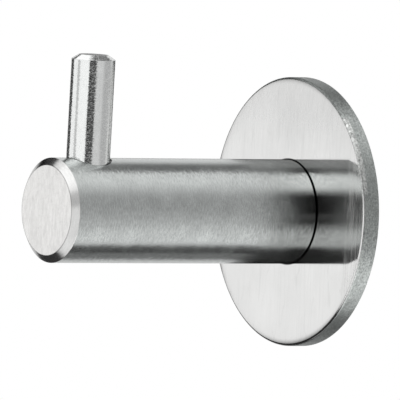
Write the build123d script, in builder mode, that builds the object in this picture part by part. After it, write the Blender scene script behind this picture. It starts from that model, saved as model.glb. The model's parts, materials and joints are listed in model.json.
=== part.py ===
from build123d import *
import math
import os

os.makedirs("parts", exist_ok=True)

# Wall hook in stainless steel. A round bar stands square on a round rose, and a
# thinner pin stands up in the bar near its free end. All sizes are in millimetres.
# The origin is the centre of the rose's back face, which lies on the wall.
# The bar stands out from the wall along -Y, and the pin points up along +Z.

# Rose
rose_diameter = 51.5
rose_thickness = 3.8
rose_edge_radius = 0.5  # round between the front face and the rim
rose_back_chamfer = 0.3
face_roll_width = 3.0  # the polished front face falls away over this width at its edge
face_roll_drop = 0.12

# Bar
bar_diameter = 20.0
bar_projection = 59.0  # from the wall to the bar's free end
end_chamfer_radial = 1.4
end_chamfer_axial = 1.1
foot_chamfer = 0.2  # shows as the dark line where the bar meets the rose
spigot_diameter = 12.0  # centres the bar in the rose
spigot_recess = 0.5  # the spigot stops this far short of the wall
spigot_chamfer = 0.5

# Tapped hole for an M8 wall stud, in the bar's back end
stud_tapping_diameter = 6.8
stud_hole_depth = 20.0
stud_mouth_chamfer = 0.8
drill_point_angle = 118.0

# Pin
pin_diameter = 8.4
pin_height = 19.7  # above the top of the bar
pin_from_free_end = 8.8  # from the bar's free end to the pin's axis
pin_seat_depth = 10.0  # below the top of the bar
pin_top_chamfer_radial = 1.4
pin_top_chamfer_axial = 0.9
pin_foot_chamfer = 0.4
seat_mouth_chamfer = 0.35

# Radial clearance of the bonded joints, at the spigot and at the pin's foot
joint_clearance = 0.02

# Sizes that follow from those above
rose_radius = rose_diameter / 2
bar_radius = bar_diameter / 2
spigot_radius = spigot_diameter / 2
tapping_radius = stud_tapping_diameter / 2
pin_radius = pin_diameter / 2
stud_hole_floor = spigot_recess + stud_hole_depth
stud_point_length = tapping_radius / math.tan(math.radians(drill_point_angle / 2))
pin_from_wall = bar_projection - pin_from_free_end
pin_top = bar_radius + pin_height
pin_foot = bar_radius - pin_seat_depth

# Turned sections are drawn with x as the distance out from the wall and y as the
# radius, and turned about the bar's axis.
turning_plane = Plane(origin=(0, 0, 0), x_dir=(0, -1, 0), z_dir=(-1, 0, 0))

# The pin's section is drawn with x as its radius and y as the height.
pin_axis = Axis((0, -pin_from_wall, 0), (0, 0, 1))
pin_plane = Plane(origin=(0, -pin_from_wall, 0), x_dir=(0, -1, 0), z_dir=(-1, 0, 0))


# Rose, turned from plate, with a centre hole for the bar's spigot
with BuildPart() as rose:
    with BuildSketch(turning_plane):
        with BuildLine():
            centre_hole_radius = spigot_radius + joint_clearance
            front_face = Line(
                (rose_thickness, centre_hole_radius),
                (rose_thickness, rose_radius - face_roll_width),
            )
            face_roll = TangentArc(
                front_face @ 1,
                (rose_thickness - face_roll_drop, rose_radius),
                tangent=front_face % 1,
            )
            Polyline(
                face_roll @ 1,
                (rose_back_chamfer, rose_radius),
                (0, rose_radius - rose_back_chamfer),
                (0, centre_hole_radius),
                front_face @ 0,
            )
        make_face()
        rim_corners = vertices().group_by(Axis.Y)[-1]
        fillet(rim_corners.sort_by(Axis.X)[-1], rose_edge_radius)
    revolve(axis=Axis.Y)
rose.part.label = "rose"


# Bar, turned from round stock, with its spigot, its tapped hole and the pin's seat
with BuildPart() as bar:
    with BuildSketch(turning_plane):
        with BuildLine():
            Polyline(
                (spigot_recess, 0),
                (spigot_recess, spigot_radius - spigot_chamfer),
                (spigot_recess + spigot_chamfer, spigot_radius),
                (rose_thickness, spigot_radius),
                (rose_thickness, bar_radius - foot_chamfer),
                (rose_thickness + foot_chamfer, bar_radius),
                (bar_projection - end_chamfer_axial, bar_radius),
                (bar_projection, bar_radius - end_chamfer_radial),
                (bar_projection, 0),
                close=True,
            )
        make_face()
    revolve(axis=Axis.Y)

    with BuildSketch(turning_plane):
        with BuildLine():
            Polyline(
                (spigot_recess, 0),
                (spigot_recess, tapping_radius + stud_mouth_chamfer),
                (spigot_recess + stud_mouth_chamfer, tapping_radius),
                (stud_hole_floor, tapping_radius),
                (stud_hole_floor + stud_point_length, 0),
                close=True,
            )
        make_face()
    revolve(axis=Axis.Y, mode=Mode.SUBTRACT)

    seat_radius = pin_radius + joint_clearance
    with Locations((0, -pin_from_wall, pin_foot)):
        Cylinder(
            seat_radius,
            pin_seat_depth + bar_radius,
            align=(Align.CENTER, Align.CENTER, Align.MIN),
            mode=Mode.SUBTRACT,
        )
    seat_mouth = edges().filter_by(GeomType.BSPLINE)
    chamfer(seat_mouth, seat_mouth_chamfer)
bar.part.label = "bar"


# Pin, standing on the floor of its seat
with BuildPart() as pin:
    with BuildSketch(pin_plane):
        with BuildLine():
            Polyline(
                (0, pin_foot),
                (pin_radius - pin_foot_chamfer, pin_foot),
                (pin_radius, pin_foot + pin_foot_chamfer),
                (pin_radius, pin_top - pin_top_chamfer_axial),
                (pin_radius - pin_top_chamfer_radial, pin_top),
                (0, pin_top),
                close=True,
            )
        make_face()
    revolve(axis=pin_axis)
pin.part.label = "pin"


export_step(rose.part, "parts/rose.step")
export_step(bar.part, "parts/bar.step")
export_step(pin.part, "parts/pin.step")
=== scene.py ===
import json
import math

import bpy
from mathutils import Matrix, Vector

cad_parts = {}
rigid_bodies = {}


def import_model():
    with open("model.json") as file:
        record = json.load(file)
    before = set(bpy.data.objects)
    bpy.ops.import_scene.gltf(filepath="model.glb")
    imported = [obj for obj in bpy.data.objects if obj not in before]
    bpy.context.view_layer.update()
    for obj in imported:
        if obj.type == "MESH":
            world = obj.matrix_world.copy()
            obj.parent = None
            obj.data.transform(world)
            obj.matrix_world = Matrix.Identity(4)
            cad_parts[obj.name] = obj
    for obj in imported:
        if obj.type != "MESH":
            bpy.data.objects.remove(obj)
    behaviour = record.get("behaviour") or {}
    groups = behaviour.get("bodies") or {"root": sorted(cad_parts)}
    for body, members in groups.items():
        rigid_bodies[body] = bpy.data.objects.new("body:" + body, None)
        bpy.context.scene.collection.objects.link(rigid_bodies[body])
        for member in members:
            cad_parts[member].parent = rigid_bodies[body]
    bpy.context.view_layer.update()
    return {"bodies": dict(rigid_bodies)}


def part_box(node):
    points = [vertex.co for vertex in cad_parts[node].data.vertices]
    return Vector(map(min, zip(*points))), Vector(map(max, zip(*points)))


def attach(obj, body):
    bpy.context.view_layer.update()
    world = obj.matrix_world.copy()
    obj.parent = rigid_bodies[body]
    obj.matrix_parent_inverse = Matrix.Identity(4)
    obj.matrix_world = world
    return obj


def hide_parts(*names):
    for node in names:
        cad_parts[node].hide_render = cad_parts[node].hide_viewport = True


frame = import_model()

mm = 0.001

scene = bpy.context.scene
bodyName = next(iter(frame["bodies"]))


def boxInMm(node):
    low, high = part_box(node)
    return Vector(low) / mm, Vector(high) / mm


roseLow, roseHigh = boxInMm("rose")
barLow, barHigh = boxInMm("bar")
pinLow, pinHigh = boxInMm("pin")
pinFromWall = -(pinLow.y + pinHigh.y) / 2


# Turned sections: x runs along the axis, y is the radius

def legNormal(start, end):
    # the metal lies to the right of the way the section runs
    along = end[0] - start[0]
    outward = end[1] - start[1]
    length = math.hypot(along, outward)
    return (-outward / length, along / length)


def arcPoints(centre, radius, fromAngle, toAngle, steps):
    # points on an arc, each with the normal that points away from its centre
    points = []
    for step in range(steps + 1):
        angle = fromAngle + (toAngle - fromAngle) * step / steps
        nx, nr = math.cos(angle), math.sin(angle)
        points.append((centre[0] + radius * nx, centre[1] + radius * nr, nx, nr))
    return points


def turnedSection(corners, arcSteps=3):
    # corners are (along, radius, rounding) and come back as (along, radius, normal)
    points = []
    last = len(corners) - 1
    for index, (along, radius, rounding) in enumerate(corners):
        here = Vector((along, radius))
        if index > 0:
            before = Vector(corners[index - 1][:2])
            normalIn = Vector(legNormal(before, here))
        if index < last:
            after = Vector(corners[index + 1][:2])
            normalOut = Vector(legNormal(here, after))
        if index == 0:
            points.append((along, radius, *normalOut))
        elif index == last:
            points.append((along, radius, *normalIn))
        elif rounding == 0:
            points.append((along, radius, *normalIn))
            points.append((along, radius, *normalOut))
        else:
            turn = normalIn.angle(normalOut)
            cut = rounding * math.tan(turn / 2)
            start = here + (before - here).normalized() * cut
            outer = normalIn.dot((after - here).normalized()) < 0
            side = 1 if outer else -1
            centre = start - normalIn * rounding * side
            fromAngle = math.atan2(normalIn.y * side, normalIn.x * side)
            toAngle = math.atan2(normalOut.y * side, normalOut.x * side)
            while toAngle - fromAngle > math.pi:
                toAngle -= 2 * math.pi
            while toAngle - fromAngle < -math.pi:
                toAngle += 2 * math.pi
            for px, pr, nx, nr in arcPoints(centre, rounding, fromAngle, toAngle, arcSteps):
                points.append((px, pr, nx * side, nr * side))
    return points


def newShell(origin, axis, up):
    axis, up = Vector(axis), Vector(up)
    return {
        "origin": Vector(origin), "axis": axis, "up": up, "side": up.cross(axis),
        "points": [], "paintedShade": [], "faces": [], "normals": [], "grain": [], "slots": [],
    }


def outwardAt(shell, angle):
    return shell["up"] * math.cos(angle) + shell["side"] * math.sin(angle)


def addPoint(shell, point, paintedShade=0.0):
    # the last value is the painted shade of a point: how much it is darkened, from 0 to 1
    shell["points"].append(Vector(point))
    shell["paintedShade"].append(paintedShade)
    return len(shell["points"]) - 1


def addRing(shell, along, radius, angles, paintedShade=0.0):
    centre = shell["origin"] + shell["axis"] * along
    if radius == 0:
        return [addPoint(shell, centre, paintedShade)] * len(angles)
    return [addPoint(shell, centre + outwardAt(shell, a) * radius, paintedShade) for a in angles]


def addFace(shell, corners, normals, grain, slot):
    # corners that fall on one point are dropped, and the face is turned to its normals
    kept = []
    for item in zip(corners, normals, grain):
        if not kept or (item[0] != kept[-1][0] and item[0] != kept[0][0]):
            kept.append(item)
    if len(kept) < 3:
        return
    spots = [shell["points"][item[0]] for item in kept]
    across = (spots[1] - spots[0]).cross(spots[2] - spots[0])
    if len(spots) > 3:
        across += (spots[2] - spots[0]).cross(spots[3] - spots[0])
    facing = sum((item[1] for item in kept), Vector())
    if across.dot(facing) < 0:
        kept.reverse()
    shell["faces"].append([item[0] for item in kept])
    shell["normals"].extend(item[1] for item in kept)
    shell["grain"].extend(item[2] for item in kept)
    shell["slots"].append(slot)


def sectionNormal(shell, nx, nr, angle):
    return shell["axis"] * nx + outwardAt(shell, angle) * nr


def addTurned(shell, section, angles, slotOf, paintedShadeOf=None):
    # a ring for each point of the section, and faces between one ring and the next
    rings = []
    travel = 0.0
    count = len(angles)
    for index, (along, radius, nx, nr) in enumerate(section):
        if index > 0 and section[index - 1][:2] == (along, radius):
            ring = rings[-1]["ring"]
        else:
            paintedShade = paintedShadeOf(along, radius) if paintedShadeOf else 0.0
            ring = addRing(shell, along * mm, radius * mm, angles, paintedShade)
        if index > 0:
            back = section[index - 1]
            travel += math.hypot(along - back[0], radius - back[1])
        rings.append({"ring": ring, "normal": (nx, nr), "travel": travel})
    for index in range(1, len(rings)):
        low, high = rings[index - 1], rings[index]
        if low["ring"] is high["ring"]:
            continue
        middle = [(section[index - 1][k] + section[index][k]) / 2 for k in (0, 1)]
        for k in range(count):
            n = (k + 1) % count
            a, b = angles[k], angles[n]
            turnB = b if b > a else b + 2 * math.pi
            addFace(
                shell,
                [low["ring"][k], low["ring"][n], high["ring"][n], high["ring"][k]],
                [
                    sectionNormal(shell, *low["normal"], a),
                    sectionNormal(shell, *low["normal"], b),
                    sectionNormal(shell, *high["normal"], b),
                    sectionNormal(shell, *high["normal"], a),
                ],
                [
                    (low["travel"], a),
                    (low["travel"], turnB),
                    (high["travel"], turnB),
                    (high["travel"], a),
                ],
                slotOf(*middle),
            )
    return rings


def finishShell(shell, name, materials):
    mesh = bpy.data.meshes.new(name)
    mesh.from_pydata(shell["points"], [], shell["faces"])
    for material in materials:
        mesh.materials.append(material)
    mesh.polygons.foreach_set("material_index", shell["slots"])
    grainMap = mesh.uv_layers.new(name="grainMap")
    for loop, (u, v) in zip(grainMap.data, shell["grain"]):
        loop.uv = (u, v)
    # painted shade, kept on each point for the steel to darken its colour by
    paintedShade = mesh.attributes.new("paintedShade", "FLOAT", "POINT")
    paintedShade.data.foreach_set("value", shell["paintedShade"])
    mesh.shade_smooth()
    mesh.normals_split_custom_set([normal.normalized() for normal in shell["normals"]])
    piece = bpy.data.objects.new(name, mesh)
    scene.collection.objects.link(piece)
    return piece


def evenAngles(count):
    return [2 * math.pi * k / count for k in range(count)]


# Shared node groups

def newGroup(name, inputs, outputs):
    group = bpy.data.node_groups.new(name, "ShaderNodeTree")
    for label, kind, value in inputs:
        socket = group.interface.new_socket(label, in_out="INPUT", socket_type=kind)
        socket.default_value = value
    for label, kind in outputs:
        group.interface.new_socket(label, in_out="OUTPUT", socket_type=kind)
    return group, group.nodes.new("NodeGroupInput"), group.nodes.new("NodeGroupOutput")


def addNode(tree, kind, inputs=None, **settings):
    # inputs are values or the sockets of other nodes, by name or by number
    node = tree.nodes.new(kind)
    for key, value in settings.items():
        setattr(node, key, value)
    for key, value in (inputs or {}).items():
        if isinstance(value, bpy.types.NodeSocket):
            tree.links.new(value, node.inputs[key])
        else:
            node.inputs[key].default_value = value
    return node


def addMath(tree, operation, *values):
    node = addNode(tree, "ShaderNodeMath", dict(enumerate(values)), operation=operation)
    return node.outputs[0]


def addVector(tree, operation, *values):
    inputs = dict(enumerate(values))
    if operation == "SCALE":
        inputs["Scale"] = inputs.pop(1)
    node = addNode(tree, "ShaderNodeVectorMath", inputs, operation=operation)
    return node.outputs["Vector"]


def addRange(tree, value, low, high, toLow=0.0, toHigh=1.0, curve="SMOOTHSTEP"):
    inputs = {
        "Value": value, "From Min": low, "From Max": high,
        "To Min": toLow, "To Max": toHigh,
    }
    node = addNode(tree, "ShaderNodeMapRange", inputs, interpolation_type=curve)
    return node.outputs["Result"]


def placeInMm(tree):
    place = addNode(tree, "ShaderNodeTexCoord").outputs["Object"]
    return addVector(tree, "SCALE", place, 1.0 / mm)


def makeSteelGrain():
    # fine lines left by the abrasive, as a tilt of the surface and as light and dark streaks
    group, start, end = newGroup(
        "steelGrain",
        [
            ("Density", "NodeSocketVector", (1.0, 1.0, 1.0)),
            ("Line Direction", "NodeSocketVector", (0.0, 0.0, 1.0)),
            ("Tilt Along Lines", "NodeSocketFloat", 0.02),
            ("Tilt Across Lines", "NodeSocketFloat", 0.05),
        ],
        [("Normal", "NodeSocketVector"), ("Streaks", "NodeSocketFloat")],
    )

    def noiseAt(place):
        noise = addNode(group, "ShaderNodeTexNoise", {
            "Vector": place, "Scale": 1.0, "Detail": 3.0, "Roughness": 0.6,
        })
        return noise.outputs["Fac"]

    def swing(noise, tilt):
        offset = addMath(group, "SUBTRACT", noise, 0.5)
        return addMath(group, "MULTIPLY", offset, start.outputs[tilt])

    stretched = addVector(group, "MULTIPLY", placeInMm(group), start.outputs["Density"])
    lines = noiseAt(stretched)
    otherLines = noiseAt(addVector(group, "ADD", stretched, (31.7, 12.3, 54.1)))
    surface = addNode(group, "ShaderNodeNewGeometry").outputs["Normal"]
    across = addVector(group, "NORMALIZE", addVector(
        group, "CROSS_PRODUCT", start.outputs["Line Direction"], surface))
    along = addVector(group, "CROSS_PRODUCT", surface, across)
    tilt = addVector(
        group, "ADD",
        addVector(group, "SCALE", across, swing(lines, "Tilt Across Lines")),
        addVector(group, "SCALE", along, swing(otherLines, "Tilt Along Lines")))
    tilted = addVector(group, "ADD", surface, tilt)
    group.links.new(addVector(group, "NORMALIZE", tilted), end.inputs["Normal"])
    group.links.new(lines, end.inputs["Streaks"])
    return group


def makeHandling():
    # cloudy patches from handling, and a few fine scratches
    group, start, end = newGroup(
        "handlingMarks",
        [
            ("Cloud Size", "NodeSocketFloat", 0.1),
            ("Scratch Density", "NodeSocketVector", (0.2, 2.0, 0.2)),
            ("Scratch Width", "NodeSocketFloat", 0.04),
        ],
        [("Clouds", "NodeSocketFloat"), ("Scratches", "NodeSocketFloat")],
    )
    inMm = placeInMm(group)
    clouds = addNode(group, "ShaderNodeTexNoise", {
        "Vector": inMm, "Scale": start.outputs["Cloud Size"], "Detail": 4.0, "Roughness": 0.55,
    })
    lines = addVector(group, "MULTIPLY", inMm, start.outputs["Scratch Density"])
    scratch = addNode(group, "ShaderNodeTexNoise", {
        "Vector": lines, "Scale": 1.0, "Detail": 1.0, "Distortion": 0.3,
    })
    offCentre = addMath(group, "ABSOLUTE", addMath(
        group, "SUBTRACT", scratch.outputs["Fac"], 0.5))
    thin = addRange(group, offCentre, 0.0, start.outputs["Scratch Width"], 1.0, 0.0)
    group.links.new(clouds.outputs["Fac"], end.inputs["Clouds"])
    group.links.new(thin, end.inputs["Scratches"])
    return group


def makeEdgeHaze():
    # upright hairlines that dull a face towards its top, and more sharply beside its edge
    group, start, end = newGroup(
        "edgeHaze",
        [
            ("Start", "NodeSocketFloat", 6.0), ("Full", "NodeSocketFloat", 25.5),
            ("Side Start", "NodeSocketFloat", 18.5), ("Side Full", "NodeSocketFloat", 21.0),
            ("Side Share", "NodeSocketFloat", 0.6),
        ],
        [("Haze", "NodeSocketFloat")],
    )
    inMm = placeInMm(group)
    parts = addNode(group, "ShaderNodeSeparateXYZ", {0: inMm})

    def hairlines(density, detail, roughness, low, high, least):
        # 1 on a line, and least between the lines
        lines = addNode(group, "ShaderNodeTexNoise", {
            "Vector": addVector(group, "MULTIPLY", inMm, density),
            "Scale": 1.0, "Detail": detail, "Roughness": roughness,
        })
        return addRange(group, lines.outputs["Fac"], low, high, least, 1.0)

    fine = hairlines(
        (2.0, 1.0, 0.25), detail=2.0, roughness=0.6, low=0.35, high=0.65, least=0.7)
    coarse = hairlines(
        (1.9, 1.0, 0.10), detail=3.0, roughness=0.7, low=0.40, high=0.62, least=0.15)
    rise = addRange(group, parts.outputs["Z"], start.outputs["Start"], start.outputs["Full"])
    outer = addRange(
        group, parts.outputs["X"], start.outputs["Side Start"], start.outputs["Side Full"])
    upper = addMath(group, "MULTIPLY", rise, fine)
    scored = addMath(group, "MULTIPLY", outer, coarse)
    beside = addMath(group, "MULTIPLY", scored, start.outputs["Side Share"])
    group.links.new(addMath(group, "MAXIMUM", upper, beside), end.inputs["Haze"])
    return group


steelGrain = makeSteelGrain()
edgeHaze = makeEdgeHaze()
handlingMarks = makeHandling()
noiseRange = (0.3, 0.7)  # nearly all of a noise lies in it


def newMaterial(name):
    material = bpy.data.materials.new(name)
    material.use_nodes = True
    tree = material.node_tree
    return material, tree, tree.nodes["Principled BSDF"]


def makeSteel(name, finish):
    # one brushed or polished steel, from the values of a finish
    material, tree, shader = newMaterial(name)
    shader.inputs["Metallic"].default_value = 1.0
    shader.inputs["Anisotropic"].default_value = finish["anisotropic"]
    if finish["anisotropic"] > 0:
        tangent = addNode(tree, "ShaderNodeTangent", direction_type="UV_MAP", uv_map="grainMap")
        tree.links.new(tangent.outputs["Tangent"], shader.inputs["Tangent"])
    grain = addNode(tree, "ShaderNodeGroup", {
        "Density": finish["lineDensity"], "Line Direction": finish["lineDirection"],
        "Tilt Along Lines": finish["tiltAlong"], "Tilt Across Lines": finish["tiltAcross"],
    }, node_tree=steelGrain)
    marks = addNode(tree, "ShaderNodeGroup", {
        "Cloud Size": finish["cloudSize"],
        "Scratch Density": finish["scratchDensity"], "Scratch Width": finish["scratchWidth"],
    }, node_tree=handlingMarks)

    def across(mask, low, high):
        return addRange(tree, mask, *noiseRange, low, high, "LINEAR")

    streaks, clouds = finish["streaks"], finish["clouds"]
    streaked = across(grain.outputs["Streaks"], 1.0 - streaks, 1.0 + streaks)
    clouded = across(marks.outputs["Clouds"], 1.0 - clouds, 1.0 + clouds)
    tone = addMath(tree, "MULTIPLY", streaked, clouded)
    scratched = addMath(tree, "MULTIPLY", marks.outputs["Scratches"], -finish["scratches"])
    tone = addMath(tree, "ADD", tone, scratched)
    # painted shade: the colour is darkened where a piece holds it
    paintedShade = addNode(tree, "ShaderNodeAttribute", attribute_name="paintedShade").outputs["Fac"]
    tone = addMath(tree, "MULTIPLY", tone, addMath(tree, "SUBTRACT", 1.0, paintedShade))
    colour = addVector(tree, "SCALE", finish["colour"], tone)
    tree.links.new(colour, shader.inputs["Base Color"])
    rough = across(marks.outputs["Clouds"], *finish["roughness"])
    if "smoothEnd" in finish:
        # smoother towards the wall, by the distance from it
        ease = finish["smoothEnd"]
        parts = addNode(tree, "ShaderNodeSeparateXYZ", {0: placeInMm(tree)})
        fromWall = addMath(tree, "MULTIPLY", parts.outputs["Y"], -1.0)
        eased = addRange(tree, fromWall, ease["from"], ease["to"], ease["share"], 1.0)
        rough = addMath(tree, "MULTIPLY", rough, eased)
    if "haze" in finish:
        ends = finish["haze"]
        haze = addNode(tree, "ShaderNodeGroup", {
            "Start": ends["start"], "Full": ends["full"],
            "Side Start": ends["sideStart"], "Side Full": ends["sideFull"],
            "Side Share": ends["sideShare"],
        }, node_tree=edgeHaze)
        dulled = addMath(tree, "MULTIPLY", haze.outputs["Haze"], ends["dulling"])
        tree.links.new(addMath(tree, "SUBTRACT", 1.0, dulled), shader.inputs["Metallic"])
    if "spots" in finish:
        # fine dull spots, which show where the steel reflects something dark
        spots = finish["spots"]
        bare = addRange(
            tree, grain.outputs["Streaks"], spots["from"], spots["to"],
            1.0, 1.0 - spots["dulling"], "LINEAR")
        tree.links.new(bare, shader.inputs["Metallic"])
    tree.links.new(rough, shader.inputs["Roughness"])
    tree.links.new(grain.outputs["Normal"], shader.inputs["Normal"])
    return material


# Rose

rose = {
    "radius": roseHigh.z, "thickness": -roseLow.y, "hole": 6.02, "segments": 256,
    "rollWidth": 3.0, "rollDrop": 0.12, "rollSteps": 12,
    "edge": 0.5, "edgeSteps": 10,  # the round into the rim
    "polishDepth": 0.36, "faceStop": 0.8,  # where the polish ends, as shares of that round
    "backChamfer": 0.3, "backRounding": 0.08,
    "burrWidth": 0.5, "burrLow": 6.0, "burrHigh": 19.5,  # heights where the edge is ragged
    "shadeStart": 10.13, "shadeEnd": 10.28, "shade": 0.97,  # painted shade in the joint round the bar
    "slack": 0.02,  # tells one place on the section from the next
    "face": {
        "colour": (0.62, 0.62, 0.615), "roughness": (0.07, 0.11), "anisotropic": 0.75,
        "lineDensity": (2.2, 2.2, 0.12), "lineDirection": (0.0, 0.0, 1.0),
        "tiltAlong": 0.004, "tiltAcross": 0.03, "streaks": 0.012,
        "cloudSize": 0.08, "clouds": 0.055,
        "scratchDensity": (0.5, 1.0, 0.06), "scratchWidth": 0.02, "scratches": 0.05,
        "haze": {
            "start": 6.0, "full": 25.5,  # heights on the face
            "sideStart": 18.5, "sideFull": 21.0, "sideShare": 0.6,  # to its right
            "dulling": 0.50,
        },
    },
    "rim": {
        "colour": (0.38, 0.40, 0.39), "roughness": (0.40, 0.50), "anisotropic": 0.85,
        "lineDensity": (2.6, 3.2, 2.6), "lineDirection": (0.0, 1.0, 0.0),
        "tiltAlong": 0.40, "tiltAcross": 0.3, "streaks": 0.38,
        "cloudSize": 0.5, "clouds": 0.1,
        "scratchDensity": (0.4, 3.0, 0.4), "scratchWidth": 0.04, "scratches": 0.12,
    },
    "brokenEdge": {
        "colour": (0.50, 0.51, 0.50), "roughness": (0.34, 0.44), "anisotropic": 0.3,
        "lineDensity": (1.9, 1.9, 1.9), "lineDirection": (0.0, 1.0, 0.0),
        "tiltAlong": 0.5, "tiltAcross": 0.5, "streaks": 0.6,
        "cloudSize": 0.6, "clouds": 0.1,
        "scratchDensity": (0.4, 3.0, 0.4), "scratchWidth": 0.04, "scratches": 0.1,
    },
    "back": {
        "colour": (0.58, 0.58, 0.575), "roughness": (0.28, 0.4), "anisotropic": 0.3,
        "lineDensity": (3.0, 3.0, 0.3), "lineDirection": (0.0, 0.0, 1.0),
        "tiltAlong": 0.03, "tiltAcross": 0.12, "streaks": 0.08,
        "cloudSize": 0.1, "clouds": 0.06,
        "scratchDensity": (0.5, 1.0, 0.1), "scratchWidth": 0.03, "scratches": 0.1,
    },
}


def roseSection():
    # from the back of the hole out over the back, the rim, the rounded edge and the face
    outer, thick, edge = rose["radius"], rose["thickness"], rose["edge"]
    roll = (rose["rollWidth"] ** 2 + rose["rollDrop"] ** 2) / (2 * rose["rollDrop"])
    rollCentre = (thick - roll, outer - rose["rollWidth"])
    reach = outer - edge - rollCentre[1]
    edgeCentre = (rollCentre[0] + math.sqrt((roll - edge) ** 2 - reach ** 2), outer - edge)
    meet = math.asin(reach / (roll - edge))
    backwards = turnedSection([
        (0.0, rose["hole"], 0.0),
        (0.0, outer - rose["backChamfer"], rose["backRounding"]),
        (rose["backChamfer"], outer, rose["backRounding"]),
        (edgeCentre[0] - rose["burrWidth"], outer, 0.0),
        (edgeCentre[0], outer, 0.0),
    ])
    section = backwards[:-1]
    section += arcPoints(edgeCentre, edge, math.pi / 2, meet, rose["edgeSteps"])
    section += arcPoints(rollCentre, roll, meet, 0.0, rose["rollSteps"])[1:]
    section += turnedSection([
        (thick, rollCentre[1], 0.0),
        (thick, rose["shadeEnd"], 0.0),
        (thick, rose["shadeStart"], 0.0),
        (thick, rose["hole"], 0.0),
        (0.0, rose["hole"], 0.0),
    ])[1:]
    return section


def makeRose():
    shell = newShell((0, 0, 0), (0, -1, 0), (0, 0, 1))
    faceSlot, rimSlot, backSlot, brokenSlot = range(4)
    faceEdge = rose["thickness"] - rose["rollDrop"]
    polishStart = faceEdge - rose["edge"] * rose["polishDepth"]
    burrStart = faceEdge - rose["edge"] - rose["burrWidth"]
    slack = rose["slack"]

    def slotOf(along, radius):
        if radius < rose["hole"] + slack or along < slack:
            return backSlot
        if along < burrStart:
            return rimSlot
        onFace = radius < rose["radius"] - rose["edge"] * rose["faceStop"]
        return faceSlot if onFace else brokenSlot

    def paintedShadeOf(along, radius):
        # painted shade on the face beside the bar's foot
        inJoint = along > polishStart and radius < rose["shadeStart"] + slack
        return rose["shade"] if inJoint else 0.0

    addTurned(shell, roseSection(), evenAngles(rose["segments"]), slotOf, paintedShadeOf)
    loop = 0
    for index, corners in enumerate(shell["faces"]):
        first = shell["points"][corners[0]]
        depth, height = -first.y / mm, first.z / mm
        ragged = rose["burrLow"] < height < rose["burrHigh"]
        if shell["slots"][index] == brokenSlot and not ragged:
            polished = depth > polishStart and height < rose["burrHigh"]
            shell["slots"][index] = faceSlot if polished else rimSlot
        for corner in corners:
            if shell["slots"][index] in (faceSlot, backSlot):
                # the grain of both faces runs upright
                spot = shell["points"][corner]
                shell["grain"][loop] = (spot.x / mm, spot.z / mm)
            loop += 1
    piece = finishShell(shell, "hookRose", [
        makeSteel("polishedFace", rose["face"]),
        makeSteel("groundRim", rose["rim"]),
        makeSteel("groundBack", rose["back"]),
        makeSteel("brokenEdge", rose["brokenEdge"]),
    ])
    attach(piece, bodyName)
    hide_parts("rose")


makeRose()
print("rose: turned, with its polished face and ground rim")


# Bar

bar = {
    "radius": barHigh.z, "projection": -barLow.y, "segments": 128,
    "seam": -roseLow.y, "footChamfer": 0.2, "footBand": 0.15,
    "endRadial": 1.4, "endAxial": 1.1, "endRounding": 0.08,
    "chamferWay": (0.62, 0.78),  # along and out, as the end chamfer runs
    "lineWidth": 0.16, "paintedLineReach": 0.09,  # the narrow edge round the end face, and the reach of the painted dark line on it, which stands for a dark reflection in the edge's rounding
    "spigotRadius": 6.0, "spigotRecess": 0.5, "spigotChamfer": 0.5, "smallRounding": 0.05,
    "tappingRadius": 3.4, "mouthChamfer": 0.8, "boreDepth": 20.0, "drillAngle": 118.0,
    "grooveRadius": 4.0, "pitch": 1.25, "threadEnd": 17.8, "threadFade": 1.4,
    "crest": 0.07, "flank": 0.31,  # half a crest and one flank, as shares of the pitch
    "rowsPerTurn": 8,
    "seatRadius": 4.22, "seatChamfer": 0.35, "patchSpan": 15, "patchRings": 7,
    "slack": 0.03,  # tells one place on the section from the next
    # how much painted shade each place gets; the line on the end is a painted dark reflection
    "shade": {
        "joint": 0.97, "line": 0.45, "lip": 0.6, "seatWall": 0.92, "seatFloor": 0.9,
        "bore": 0.25, "drillPoint": 0.3,
    },
    "round": {
        "colour": (0.515, 0.535, 0.527), "roughness": (0.21, 0.27), "anisotropic": 0.65,
        "lineDensity": (1.2, 4.6, 1.2), "lineDirection": (0.0, 1.0, 0.0),
        "tiltAlong": 0.04, "tiltAcross": 0.22, "streaks": 0.16,
        "cloudSize": 0.30, "clouds": 0.06,
        "scratchDensity": (0.10, 1.2, 0.10), "scratchWidth": 0.02, "scratches": 0.05,
        "smoothEnd": {"from": 4.0, "to": 10.0, "share": 0.4},  # distances from the wall
    },
    "end": {
        "colour": (0.68, 0.675, 0.665), "roughness": (0.15, 0.20), "anisotropic": 0.3,
        "lineDensity": (1.6, 1.6, 0.5), "lineDirection": (0.0, 0.0, 1.0),
        "tiltAlong": 0.02, "tiltAcross": 0.05, "streaks": 0.07,
        "cloudSize": 0.15, "clouds": 0.08,
        "scratchDensity": (0.3, 0.3, 0.6), "scratchWidth": 0.02, "scratches": 0.06,
    },
    "chamfer": {
        "colour": (0.52, 0.52, 0.515), "roughness": (0.16, 0.22), "anisotropic": 0.3,
        "lineDensity": (0.5, 4.0, 0.5), "lineDirection": (0.0, 1.0, 0.0),
        "tiltAlong": 0.06, "tiltAcross": 0.06, "streaks": 0.06,
        "cloudSize": 0.3, "clouds": 0.05,
        "scratchDensity": (0.3, 3.0, 0.3), "scratchWidth": 0.03, "scratches": 0.08,
    },
    "bore": {
        "colour": (0.5, 0.5, 0.495), "roughness": (0.24, 0.34), "anisotropic": 0.0,
        "lineDensity": (1.0, 4.0, 1.0), "lineDirection": (0.0, 1.0, 0.0),
        "tiltAlong": 0.05, "tiltAcross": 0.08, "streaks": 0.08,
        "cloudSize": 0.3, "clouds": 0.06,
        "scratchDensity": (0.2, 2.0, 0.2), "scratchWidth": 0.03, "scratches": 0.05,
    },
}


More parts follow.
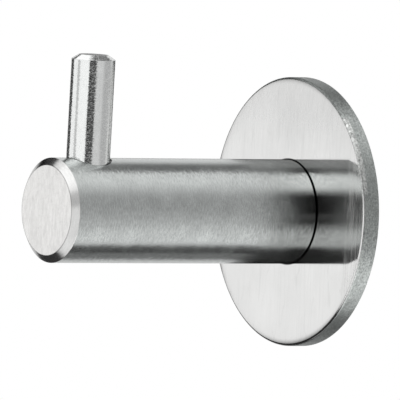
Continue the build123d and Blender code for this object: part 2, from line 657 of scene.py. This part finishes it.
def barRows(section, first, last):
    # extra rows along the round between two places, for the patch round the pin
    rows = []
    for index, point in enumerate(section):
        rows.append(point)
        if index + 1 < len(section) and point[0] < first and section[index + 1][0] > last:
            count = 2 * bar["patchSpan"]
            for row in range(count + 1):
                rows.append((first + (last - first) * row / count, *point[1:]))
    return rows


roundSlot, endSlot, boreSlot, chamferSlot = range(4)  # in the order of the bar's materials


def makeBar():
    radius, length = bar["radius"], bar["projection"]
    seam, recess = bar["seam"], bar["spigotRecess"]
    footTop = seam + bar["footChamfer"]
    endRadius = radius - bar["endRadial"]
    wayAlong, wayOut = bar["chamferWay"]
    lineWidth, paintedLineReach = bar["lineWidth"], bar["paintedLineReach"]
    slack, shade = bar["slack"], bar["shade"]
    angles = evenAngles(bar["segments"])
    shell = newShell((0, 0, 0), (0, -1, 0), (0, 0, 1))
    step = 2 * math.pi / bar["segments"]
    halfPatch = radius * math.sin(bar["patchSpan"] * step)
    first, last = pinFromWall - halfPatch, pinFromWall + halfPatch
    section = turnedSection([
        (recess, bar["tappingRadius"] + bar["mouthChamfer"], 0.0),
        (recess, bar["spigotRadius"] - bar["spigotChamfer"], bar["smallRounding"]),
        (recess + bar["spigotChamfer"], bar["spigotRadius"], bar["smallRounding"]),
        (seam, bar["spigotRadius"], 0.0),
        (seam, radius - bar["footChamfer"], 0.0),
        (footTop, radius, bar["smallRounding"]),
        (footTop + bar["footBand"], radius, 0.0),
        (length - bar["endAxial"], radius, bar["endRounding"]),
        (length - lineWidth * wayAlong, endRadius + lineWidth * wayOut, 0.0),
        (length, endRadius, bar["endRounding"]),
        (length, endRadius - lineWidth, 0.0),
        (length, 0.0, 0.0),
    ])
    section = barRows(section, first, last)

    def slotOf(along, reach):
        if along > length - slack:
            return endSlot
        return chamferSlot if along > length - bar["endAxial"] - slack else roundSlot

    def paintedShadeOf(along, reach):
        # a painted dark line on the end's edge, standing for a dark reflection in its rounding
        if along > length - paintedLineReach and abs(reach - endRadius) < paintedLineReach:
            return shade["line"]
        # painted shade in the joint at the bar's foot
        inJoint = reach > bar["spigotRadius"] + slack and along < footTop + slack
        return shade["joint"] if inJoint else 0.0

    rings = addTurned(shell, section, angles, slotOf, paintedShadeOf)
    openPatch(shell, rings, section, first, last)
    addSeat(shell, rings, section, first, last)
    addBore(shell, rings[0]["ring"], angles)
    piece = finishShell(shell, "hookBar", [
        makeSteel("barRound", bar["round"]),
        makeSteel("barEnd", bar["end"]),
        makeSteel("barBore", bar["bore"]),
        makeSteel("endChamfer", bar["chamfer"]),
    ])
    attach(piece, bodyName)
    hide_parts("bar")


def patchRows(section, first, last):
    # the rings that cross the patch, by their place in the section
    hair = 1e-9
    return [k for k, point in enumerate(section) if first - hair <= point[0] <= last + hair]


def openPatch(shell, rings, section, first, last):
    # takes out the square of faces that the pin's seat is built in
    span, count = bar["patchSpan"], bar["segments"]
    inside = set()
    for row in patchRows(section, first, last):
        ring = rings[row]["ring"]
        inside.update(ring[k % count] for k in range(-span, span + 1))
    keep = {"faces": [], "normals": [], "grain": [], "slots": []}
    loop = 0
    for corners, slot in zip(shell["faces"], shell["slots"]):
        size = len(corners)
        if not all(corner in inside for corner in corners):
            keep["faces"].append(corners)
            keep["normals"].extend(shell["normals"][loop:loop + size])
            keep["grain"].extend(shell["grain"][loop:loop + size])
            keep["slots"].append(slot)
        loop += size
    shell.update(keep)


def patchEdge(rings, section, first, last):
    # the points round the square, in order, starting at the corner nearest the wall
    span, count = bar["patchSpan"], bar["segments"]
    rows = patchRows(section, first, last)
    edge = [rings[rows[0]]["ring"][k % count] for k in range(-span, span)]
    edge += [rings[row]["ring"][span] for row in rows[:-1]]
    edge += [rings[rows[-1]]["ring"][k % count] for k in range(span, -span, -1)]
    edge += [rings[row]["ring"][-span % count] for row in reversed(rows[1:])]
    return edge


def addSeat(shell, rings, section, first, last):
    # rings that pass from the square patch to the round mouth, then down to the seat's floor
    radius, shade = bar["radius"], bar["shade"]
    centre = Vector((0.0, -pinFromWall))
    edge = patchEdge(rings, section, first, last)
    mouth = bar["seatRadius"] + bar["seatChamfer"]
    count = len(edge)
    plan = [Vector(shell["points"][k][:2]) / mm - centre for k in edge]
    bearing = [math.atan2(spot.y, spot.x) for spot in plan]

    def onRound(spot):
        place = centre + spot
        return Vector((place.x, place.y, math.sqrt(radius ** 2 - place.x ** 2)))

    def normalAt(spot):
        return Vector((spot.x, 0.0, math.sqrt(radius ** 2 - spot.x ** 2))).normalized()

    def grainAt(spot):
        return (pinFromWall - spot.y, math.asin(spot.x / radius))

    def addBand(lowRing, highRing, lowNormals, highNormals, lowGrain, highGrain, slot):
        for k in range(count):
            n = (k + 1) % count
            addFace(
                shell,
                [lowRing[k], lowRing[n], highRing[n], highRing[k]],
                [lowNormals[k], lowNormals[n], highNormals[n], highNormals[k]],
                [lowGrain[k], lowGrain[n], highGrain[n], highGrain[k]],
                slot,
            )

    ring, spots = edge, plan
    for step in range(1, bar["patchRings"] + 1):
        share = step / bar["patchRings"]
        circle = [Vector((math.cos(b), math.sin(b))) * mouth for b in bearing]
        nextSpots = [a.lerp(b, share) for a, b in zip(plan, circle)]
        nextRing = [addPoint(shell, onRound(spot) * mm) for spot in nextSpots]
        addBand(
            ring, nextRing,
            [normalAt(s) for s in spots], [normalAt(s) for s in nextSpots],
            [grainAt(s) for s in spots], [grainAt(s) for s in nextSpots], roundSlot)
        ring, spots = nextRing, nextSpots

    # the chamfer at the mouth, the wall of the seat and its floor, all with painted shade
    outward = [Vector((math.cos(b), math.sin(b), 0.0)) for b in bearing]
    wallSpots = [Vector((o.x, o.y)) * bar["seatRadius"] for o in outward]
    wallTop = []
    for spot in wallSpots:
        place = onRound(spot)
        place.z -= bar["seatChamfer"]
        wallTop.append(addPoint(shell, place * mm, shade["seatWall"]))
    lip = [addPoint(shell, shell["points"][k].copy(), shade["lip"]) for k in ring]
    slope = []
    for k in range(count):
        across = shell["points"][lip[(k + 1) % count]] - shell["points"][lip[k - 1]]
        down = shell["points"][wallTop[k]] - shell["points"][lip[k]]
        normal = across.cross(down).normalized()
        slope.append(normal if normal.z > 0 else -normal)
    grainOut = [grainAt(s) for s in spots]
    grainIn = [grainAt(s) for s in wallSpots]
    addBand(lip, wallTop, slope, slope, grainOut, grainIn, roundSlot)
    inward = [-o for o in outward]
    floorRing = []
    for spot in wallSpots:
        place = Vector((spot.x, spot.y - pinFromWall, pinLow.z))
        floorRing.append(addPoint(shell, place * mm, shade["seatFloor"]))
    addBand(wallTop, floorRing, inward, inward, grainIn, grainIn, boreSlot)
    middle = Vector((0.0, -pinFromWall, pinLow.z)) * mm
    hub = [addPoint(shell, middle, shade["seatFloor"])] * count
    up = [Vector((0, 0, 1))] * count
    addBand(floorRing, hub, up, up, grainIn, [(pinFromWall, 0.0)] * count, boreSlot)


def clamped(value):
    return min(max(value, 0.0), 1.0)


def threadRadius(along, angle):
    # a V-shaped groove that winds round the bore and runs out at its end
    turns = along / bar["pitch"] - angle / (2 * math.pi)
    share = turns - math.floor(turns)
    depth = clamped((0.5 - abs(share - 0.5) - bar["crest"]) / bar["flank"])
    fade = clamped((bar["threadEnd"] - along) / bar["threadFade"])
    ridge = bar["tappingRadius"] + (bar["grooveRadius"] - bar["tappingRadius"]) * depth * fade
    cone = bar["tappingRadius"] + bar["mouthChamfer"] - (along - bar["spigotRecess"])
    return max(ridge, cone)


def addBore(shell, mouthRing, angles):
    # the threaded hole, row by row from its mouth, and the cone that the drill leaves, both
    # with painted shade
    start = bar["spigotRecess"]
    floor = start + bar["boreDepth"]
    spacing = bar["pitch"] / bar["rowsPerTurn"]
    rows = int(bar["threadEnd"] / spacing)
    places = [start + spacing * row for row in range(rows + 1)] + [floor]
    count = len(angles)
    small = 0.02  # the step that slopes are taken over

    def boreNormal(along, angle):
        slopeAlong = threadRadius(along + small, angle) - threadRadius(along - small, angle)
        slopeAlong /= 2 * small
        turn = small / bar["tappingRadius"]
        slopeRound = threadRadius(along, angle + turn) - threadRadius(along, angle - turn)
        slopeRound /= 2 * small
        outward = outwardAt(shell, angle)
        tangent = outwardAt(shell, angle + math.pi / 2)
        return (-outward + shell["axis"] * slopeAlong + tangent * slopeRound).normalized()

    previous = None
    for index, along in enumerate(places):
        if index == 0:
            ring = mouthRing
        else:
            ring = []
            for angle in angles:
                centre = shell["origin"] + shell["axis"] * along * mm
                reach = threadRadius(along, angle) * mm
                spot = centre + outwardAt(shell, angle) * reach
                ring.append(addPoint(shell, spot, bar["shade"]["bore"]))
        normals = [boreNormal(along, angle) for angle in angles]
        if previous:
            lastRing, lastNormals, lastAlong = previous
            for k in range(count):
                n = (k + 1) % count
                addFace(
                    shell,
                    [lastRing[k], lastRing[n], ring[n], ring[k]],
                    [lastNormals[k], lastNormals[n], normals[n], normals[k]],
                    [(lastAlong, angles[k])] * 2 + [(along, angles[k])] * 2,
                    boreSlot,
                )
        previous = (ring, normals, along)
    half = math.radians(bar["drillAngle"] / 2)
    tip = floor + bar["tappingRadius"] / math.tan(half)
    point = shell["origin"] + shell["axis"] * tip * mm
    apex = addPoint(shell, point, bar["shade"]["drillPoint"])
    cone = [sectionNormal(shell, -math.sin(half), -math.cos(half), a) for a in angles]
    for k in range(count):
        n = (k + 1) % count
        addFace(
            shell,
            [ring[k], ring[n], apex],
            [cone[k], cone[n], cone[k]],
            [(floor, angles[k]), (floor, angles[n]), (tip, angles[k])],
            boreSlot,
        )


makeBar()
print("bar: turned, with the pin's seat and the tapped bore")


# Pin

pin = {
    "radius": pinHigh.x, "topRadial": 1.4, "topAxial": 0.9, "footChamfer": 0.4,
    "rounding": 0.07, "segments": 96,
    "steel": {
        "colour": (0.70, 0.71, 0.705), "roughness": (0.06, 0.17), "anisotropic": 0.0,
        "lineDensity": (2.6, 2.6, 4.6), "lineDirection": (0.0, 0.0, 1.0),
        "tiltAlong": 0.12, "tiltAcross": 0.24, "streaks": 0.07,
        "cloudSize": 0.6, "clouds": 0.03,
        "scratchDensity": (1.0, 1.0, 0.1), "scratchWidth": 0.02, "scratches": 0.05,
        "spots": {"from": 0.51, "to": 0.58, "dulling": 0.34},
    },
}


def makePin():
    bottom, top = pinLow.z, pinHigh.z
    radius = pin["radius"]
    rounding = pin["rounding"]
    shell = newShell((0, -pinFromWall * mm, 0), (0, 0, 1), (0, -1, 0))
    section = turnedSection([
        (bottom, 0.0, 0.0),
        (bottom, radius - pin["footChamfer"], rounding),
        (bottom + pin["footChamfer"], radius, rounding),
        (top - pin["topAxial"], radius, rounding),
        (top, radius - pin["topRadial"], rounding),
        (top, 0.0, 0.0),
    ])
    addTurned(shell, section, evenAngles(pin["segments"]), lambda along, reach: 0)
    piece = finishShell(shell, "hookPin", [makeSteel("pinSteel", pin["steel"])])
    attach(piece, bodyName)
    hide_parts("pin")


makePin()
print("pin: turned and set in its seat")


# Studio: large soft panels all round, which only the steel reflects

studio = {
    "level": 0.44,
    # name; centre, half width and softness around the bar, in degrees; the same along it,
    # from -1 straight out from the wall to 1 straight into it; level
    "panels": [
        ("lowBackdrop", (-174, 34, 56), (0.62, 0.5, 0.14), 0.88),
        ("backBelow", (-76, 54, 80), (0.62, 0.5, 0.14), 1.01),
        ("backUnder", (-90.5, 14.5, 9), (0.62, 0.5, 0.14), 0.07),
        ("backStrip", (-117.5, 12.5, 10), (0.62, 0.5, 0.14), 0.24),
        ("backOver", (85, 32.5, 45), (0.62, 0.5, 0.14), 1.05),
        ("gapBack", (115, 15, 8), (0.62, 0.5, 0.14), 0.22),
        ("highBackdrop", (152, 17, 14), (0.62, 0.5, 0.14), 0.92),
        ("behindDark", (180, 68, 20), (0.96, 0.20, 0.08), 0.12),
        ("behindLight", (-176, 9, 5), (0.56, 0.10, 0.06), 1.05),
        ("horizonDark", (176, 6, 5), (0.55, 0.1, 0.04), 0.25),
        ("rightMid", (0, 60, 40), (0.1, 0.35, 0.3), 0.8),
        ("frontBase", (0, 400, 1), (-0.68, 0.4, 0.08), 0.012),
        ("frontUpper", (139, 27, 16), (-0.68, 0.4, 0.08), 0.45),
        ("frontOver", (76, 24, 30), (-0.68, 0.4, 0.08), 1.7),
        ("gapFront", (109, 9, 6), (-0.68, 0.4, 0.08), 0.16),
        ("frontBelow", (-62, 30, 44), (-0.68, 0.4, 0.08), 0.92),
        ("frontUnder", (-112, 30, 16), (-0.68, 0.4, 0.08), 0.04),
        ("sideDark", (180, 60, 14), (-0.12, 0.32, 0.06), 0.05),
        ("cameraDark", (-7, 7, 8), (-0.48, 0.22, 0.06), 0.10),
        ("rightLow", (-58, 24, 10), (-0.05, 0.25, 0.1), 3.8),
        ("rightHigh", (74, 22, 14), (-0.05, 0.25, 0.1), 1.5),
        ("rimDark", (137, 32, 10), (0.13, 0.17, 0.06), 0.0),
        ("lowCap", (-65, 135, 12), (-1.0, 0.215, 0.03), 1.3),
        ("capGap", (45, 25, 14), (-1.0, 0.2, 0.03), 0.8),
        ("leftSoftbox", (-175.0, 5.6, 3), (-0.68, 0.23, 0.06), 1.26),
        ("leftGap", (180, 40, 10), (-0.915, 0.05, 0.03), 0.70),
    ],
    # cards close to a chamfer: name, the chamfer, way from it, half width and height, level
    "endChamfer": (0.0, -0.058, 0.0), "pinChamfer": (0.0, -0.0502, 0.0293),
    "cardDistance": 0.09, "cardFade": 0.6,  # the fade starts at this share of its half size
    "cards": [
        ("upperCard", "endChamfer", (100, -0.72), (0.026, 0.024), 1.9),
        ("middleCard", "endChamfer", (117, -0.61), (0.026, 0.024), 1.9),
        ("edgeCard", "endChamfer", (128, -0.48), (0.018, 0.018), 1.5),
        ("lowerCard", "endChamfer", (-97, -0.70), (0.036, 0.030), 1.4),
        ("pinCard", "pinChamfer", (128, 0.09), (0.040, 0.020), 1.5),
    ],
    "softLight": 0.85,
    "floorHeight": -0.1, "floorRadius": 0.6, "floorSegments": 96,
    "floorColour": (0.86, 0.86, 0.85), "floorRoughness": 0.9, "floorSpecular": 0.1,
    "speckleScale": 40.0, "speckle": 0.015, "floorGlow": 0.3,
    "lampPower": 1.6, "lampSize": 0.8, "lampPlace": (-0.5, -0.7, 1.1),
}


def makeStudioPanel():
    # one panel with soft edges, laid over the level of what is below it
    group, start, end = newGroup(
        "studioPanel",
        [
            ("Around", "NodeSocketFloat", 0.0), ("Along", "NodeSocketFloat", 0.0),
            ("Centre Around", "NodeSocketFloat", 0.0), ("Half Around", "NodeSocketFloat", 30.0),
            ("Soft Around", "NodeSocketFloat", 5.0), ("Centre Along", "NodeSocketFloat", 0.0),
            ("Half Along", "NodeSocketFloat", 0.5), ("Soft Along", "NodeSocketFloat", 0.1),
            ("Level", "NodeSocketFloat", 1.0), ("Below", "NodeSocketFloat", 0.0),
        ],
        [("Level", "NodeSocketFloat")],
    )

    def share(place, centre, half, soft, wraps):
        offset = addMath(group, "SUBTRACT", start.outputs[place], start.outputs[centre])
        if wraps:
            offset = addMath(group, "WRAP", offset, 180.0, -180.0)
        offset = addMath(group, "ABSOLUTE", offset)
        reach = addMath(group, "MULTIPLY", start.outputs[soft], 0.5)
        inner = addMath(group, "SUBTRACT", start.outputs[half], reach)
        outer = addMath(group, "ADD", start.outputs[half], reach)
        return addRange(group, offset, inner, outer, 1.0, 0.0)

    both = addMath(
        group, "MULTIPLY",
        share("Around", "Centre Around", "Half Around", "Soft Around", True),
        share("Along", "Centre Along", "Half Along", "Soft Along", False))
    mixed = addRange(
        group, both, 0.0, 1.0, start.outputs["Below"], start.outputs["Level"], "LINEAR")
    group.links.new(mixed, end.inputs["Level"])
    return group


def makeStudio():
    world = bpy.data.worlds.new("studio")
    scene.world = world
    world.use_nodes = True
    tree = world.node_tree
    tree.nodes.clear()
    direction = addNode(tree, "ShaderNodeTexCoord").outputs["Generated"]
    parts = addNode(tree, "ShaderNodeSeparateXYZ", {0: direction})
    turn = addMath(tree, "ARCTAN2", parts.outputs["Z"], parts.outputs["X"])
    around = addMath(tree, "DEGREES", turn)
    panelGroup = makeStudioPanel()
    below = studio["level"]
    for name, aroundBar, alongBar, level in studio["panels"]:
        inputs = {
            "Around": around, "Along": parts.outputs["Y"], "Level": level, "Below": below,
        }
        for which, values in (("Around", aroundBar), ("Along", alongBar)):
            for label, value in zip(("Centre", "Half", "Soft"), values):
                inputs[f"{label} {which}"] = value
        node = addNode(tree, "ShaderNodeGroup", inputs, node_tree=panelGroup, label=name)
        below = node.outputs["Level"]
    path = addNode(tree, "ShaderNodeLightPath")
    panels = addNode(tree, "ShaderNodeBackground", {"Color": below})
    soft = studio["softLight"]
    fromCamera = addMath(tree, "MULTIPLY", path.outputs["Is Camera Ray"], 1.0 - soft)
    plain = addNode(tree, "ShaderNodeBackground", {
        "Color": (1, 1, 1, 1), "Strength": addMath(tree, "ADD", soft, fromCamera),
    })
    mix = addNode(tree, "ShaderNodeMixShader", {
        0: path.outputs["Is Glossy Ray"], 1: plain.outputs[0], 2: panels.outputs[0],
    })
    output = addNode(tree, "ShaderNodeOutputWorld")
    tree.links.new(mix.outputs[0], output.inputs["Surface"])


def makeCard(name, chamfer, way, halves, level):
    # a soft-edged bounce card that only the steel reflects
    turn, along = math.radians(way[0]), way[1]
    reach = math.sqrt(1 - along ** 2)
    outward = Vector((math.cos(turn) * reach, along, math.sin(turn) * reach))
    width = Vector((-math.sin(turn), 0.0, math.cos(turn)))
    height = outward.cross(width)
    centre = Vector(studio[chamfer]) + outward * studio["cardDistance"]
    spots = [(-1, -1), (1, -1), (1, 1), (-1, 1)]
    mesh = bpy.data.meshes.new(name)
    corners = [centre + width * halves[0] * u + height * halves[1] * v for u, v in spots]
    mesh.from_pydata(corners, [], [(0, 1, 2, 3)])
    cardMap = mesh.uv_layers.new(name="cardMap")
    for loop, spot in zip(cardMap.data, spots):
        loop.uv = spot
    material, tree = newMaterial(name)[:2]
    tree.nodes.clear()
    place = addNode(tree, "ShaderNodeUVMap", uv_map="cardMap").outputs["UV"]
    parts = addNode(tree, "ShaderNodeSeparateXYZ", {0: place})
    shares = []
    for axis in ("X", "Y"):
        offset = addMath(tree, "ABSOLUTE", parts.outputs[axis])
        shares.append(addRange(tree, offset, studio["cardFade"], 1.0, 1.0, 0.0))
    glow = addNode(tree, "ShaderNodeEmission", {"Strength": level})
    clear = addNode(tree, "ShaderNodeBsdfTransparent")
    mix = addNode(tree, "ShaderNodeMixShader", {
        0: addMath(tree, "MULTIPLY", *shares), 1: clear.outputs[0], 2: glow.outputs[0],
    })
    output = addNode(tree, "ShaderNodeOutputMaterial")
    tree.links.new(mix.outputs[0], output.inputs["Surface"])
    mesh.materials.append(material)
    card = bpy.data.objects.new(name, mesh)
    scene.collection.objects.link(card)
    card.visible_camera = False
    card.visible_diffuse = False
    card.visible_shadow = False


def makeFloor():
    # a round pale floor that keeps the shadow
    shell = newShell((0, 0, studio["floorHeight"]), (0, 0, 1), (0, 1, 0))
    section = [(0.0, studio["floorRadius"] / mm, 1.0, 0.0), (0.0, 0.0, 1.0, 0.0)]
    addTurned(shell, section, evenAngles(studio["floorSegments"]), lambda along, reach: 0)
    material, tree, shader = newMaterial("paleFloor")
    shader.inputs["Roughness"].default_value = studio["floorRoughness"]
    shader.inputs["Specular IOR Level"].default_value = studio["floorSpecular"]
    shader.inputs["Emission Color"].default_value = (1, 1, 1, 1)
    place = addNode(tree, "ShaderNodeTexCoord").outputs["Object"]
    noise = addNode(tree, "ShaderNodeTexNoise", {
        "Vector": place, "Scale": studio["speckleScale"], "Detail": 3.0,
    })
    tone = addRange(
        tree, noise.outputs["Fac"], 0.0, 1.0,
        1.0 - studio["speckle"], 1.0 + studio["speckle"], "LINEAR")
    colour = addVector(tree, "SCALE", studio["floorColour"], tone)
    tree.links.new(colour, shader.inputs["Base Color"])
    path = addNode(tree, "ShaderNodeLightPath")
    glow = addMath(tree, "MULTIPLY", path.outputs["Is Camera Ray"], studio["floorGlow"])
    tree.links.new(glow, shader.inputs["Emission Strength"])
    floor = finishShell(shell, "paleFloor", [material])
    floor.visible_glossy = False


def makeLamp():
    light = bpy.data.lights.new("softLamp", "AREA")
    light.shape = "DISK"
    light.size = studio["lampSize"]
    light.energy = studio["lampPower"]
    lamp = bpy.data.objects.new("softLamp", light)
    lamp.location = studio["lampPlace"]
    lamp.rotation_euler = (-Vector(studio["lampPlace"])).to_track_quat("-Z", "Y").to_euler()
    lamp.visible_glossy = False
    scene.collection.objects.link(lamp)


makeStudio()
for card in studio["cards"]:
    makeCard(*card)
makeFloor()
makeLamp()
print("studio: panels, floor and lamp")


# Camera, as the photograph was taken

shot = {
    "azimuth": 56.07, "elevation": 4.24, "roll": 3.19,  # degrees, the roll leans right
    "origin": (303.9, 211.6),  # where the rose's centre falls in the picture
    "pixelsPerMm": 5.2186, "picture": 400, "distance": 3.0, "sensor": 36.0,
    "clip": (0.1, 20.0),
}


def makeCamera():
    azimuth = math.radians(shot["azimuth"])
    elevation = math.radians(shot["elevation"])
    roll = math.radians(shot["roll"])
    back = Vector((
        math.sin(azimuth) * math.cos(elevation),
        -math.cos(azimuth) * math.cos(elevation),
        math.sin(elevation),
    ))
    right = Vector((math.cos(azimuth), math.sin(azimuth), 0.0))
    up = back.cross(right)
    rightRolled = right * math.cos(roll) + up * math.sin(roll)
    upRolled = up * math.cos(roll) - right * math.sin(roll)
    middle = shot["picture"] / 2
    scale = shot["pixelsPerMm"] / mm
    target = rightRolled * ((middle - shot["origin"][0]) / scale)
    target += upRolled * ((shot["origin"][1] - middle) / scale)
    data = bpy.data.cameras.new("camera")
    data.sensor_width = shot["sensor"]
    data.lens = scale * shot["distance"] * shot["sensor"] / shot["picture"]
    data.clip_start, data.clip_end = shot["clip"]
    camera = bpy.data.objects.new("camera", data)
    place = target + back * shot["distance"]
    matrix = camera.matrix_world.to_3x3()
    for row in range(3):
        matrix[row] = (rightRolled[row], upRolled[row], back[row])
    camera.matrix_world = matrix.to_4x4()
    camera.location = place
    scene.collection.objects.link(camera)
    scene.camera = camera
    print(f"camera: lens {data.lens:.0f} mm")


makeCamera()

scene.view_settings.view_transform = "Standard"
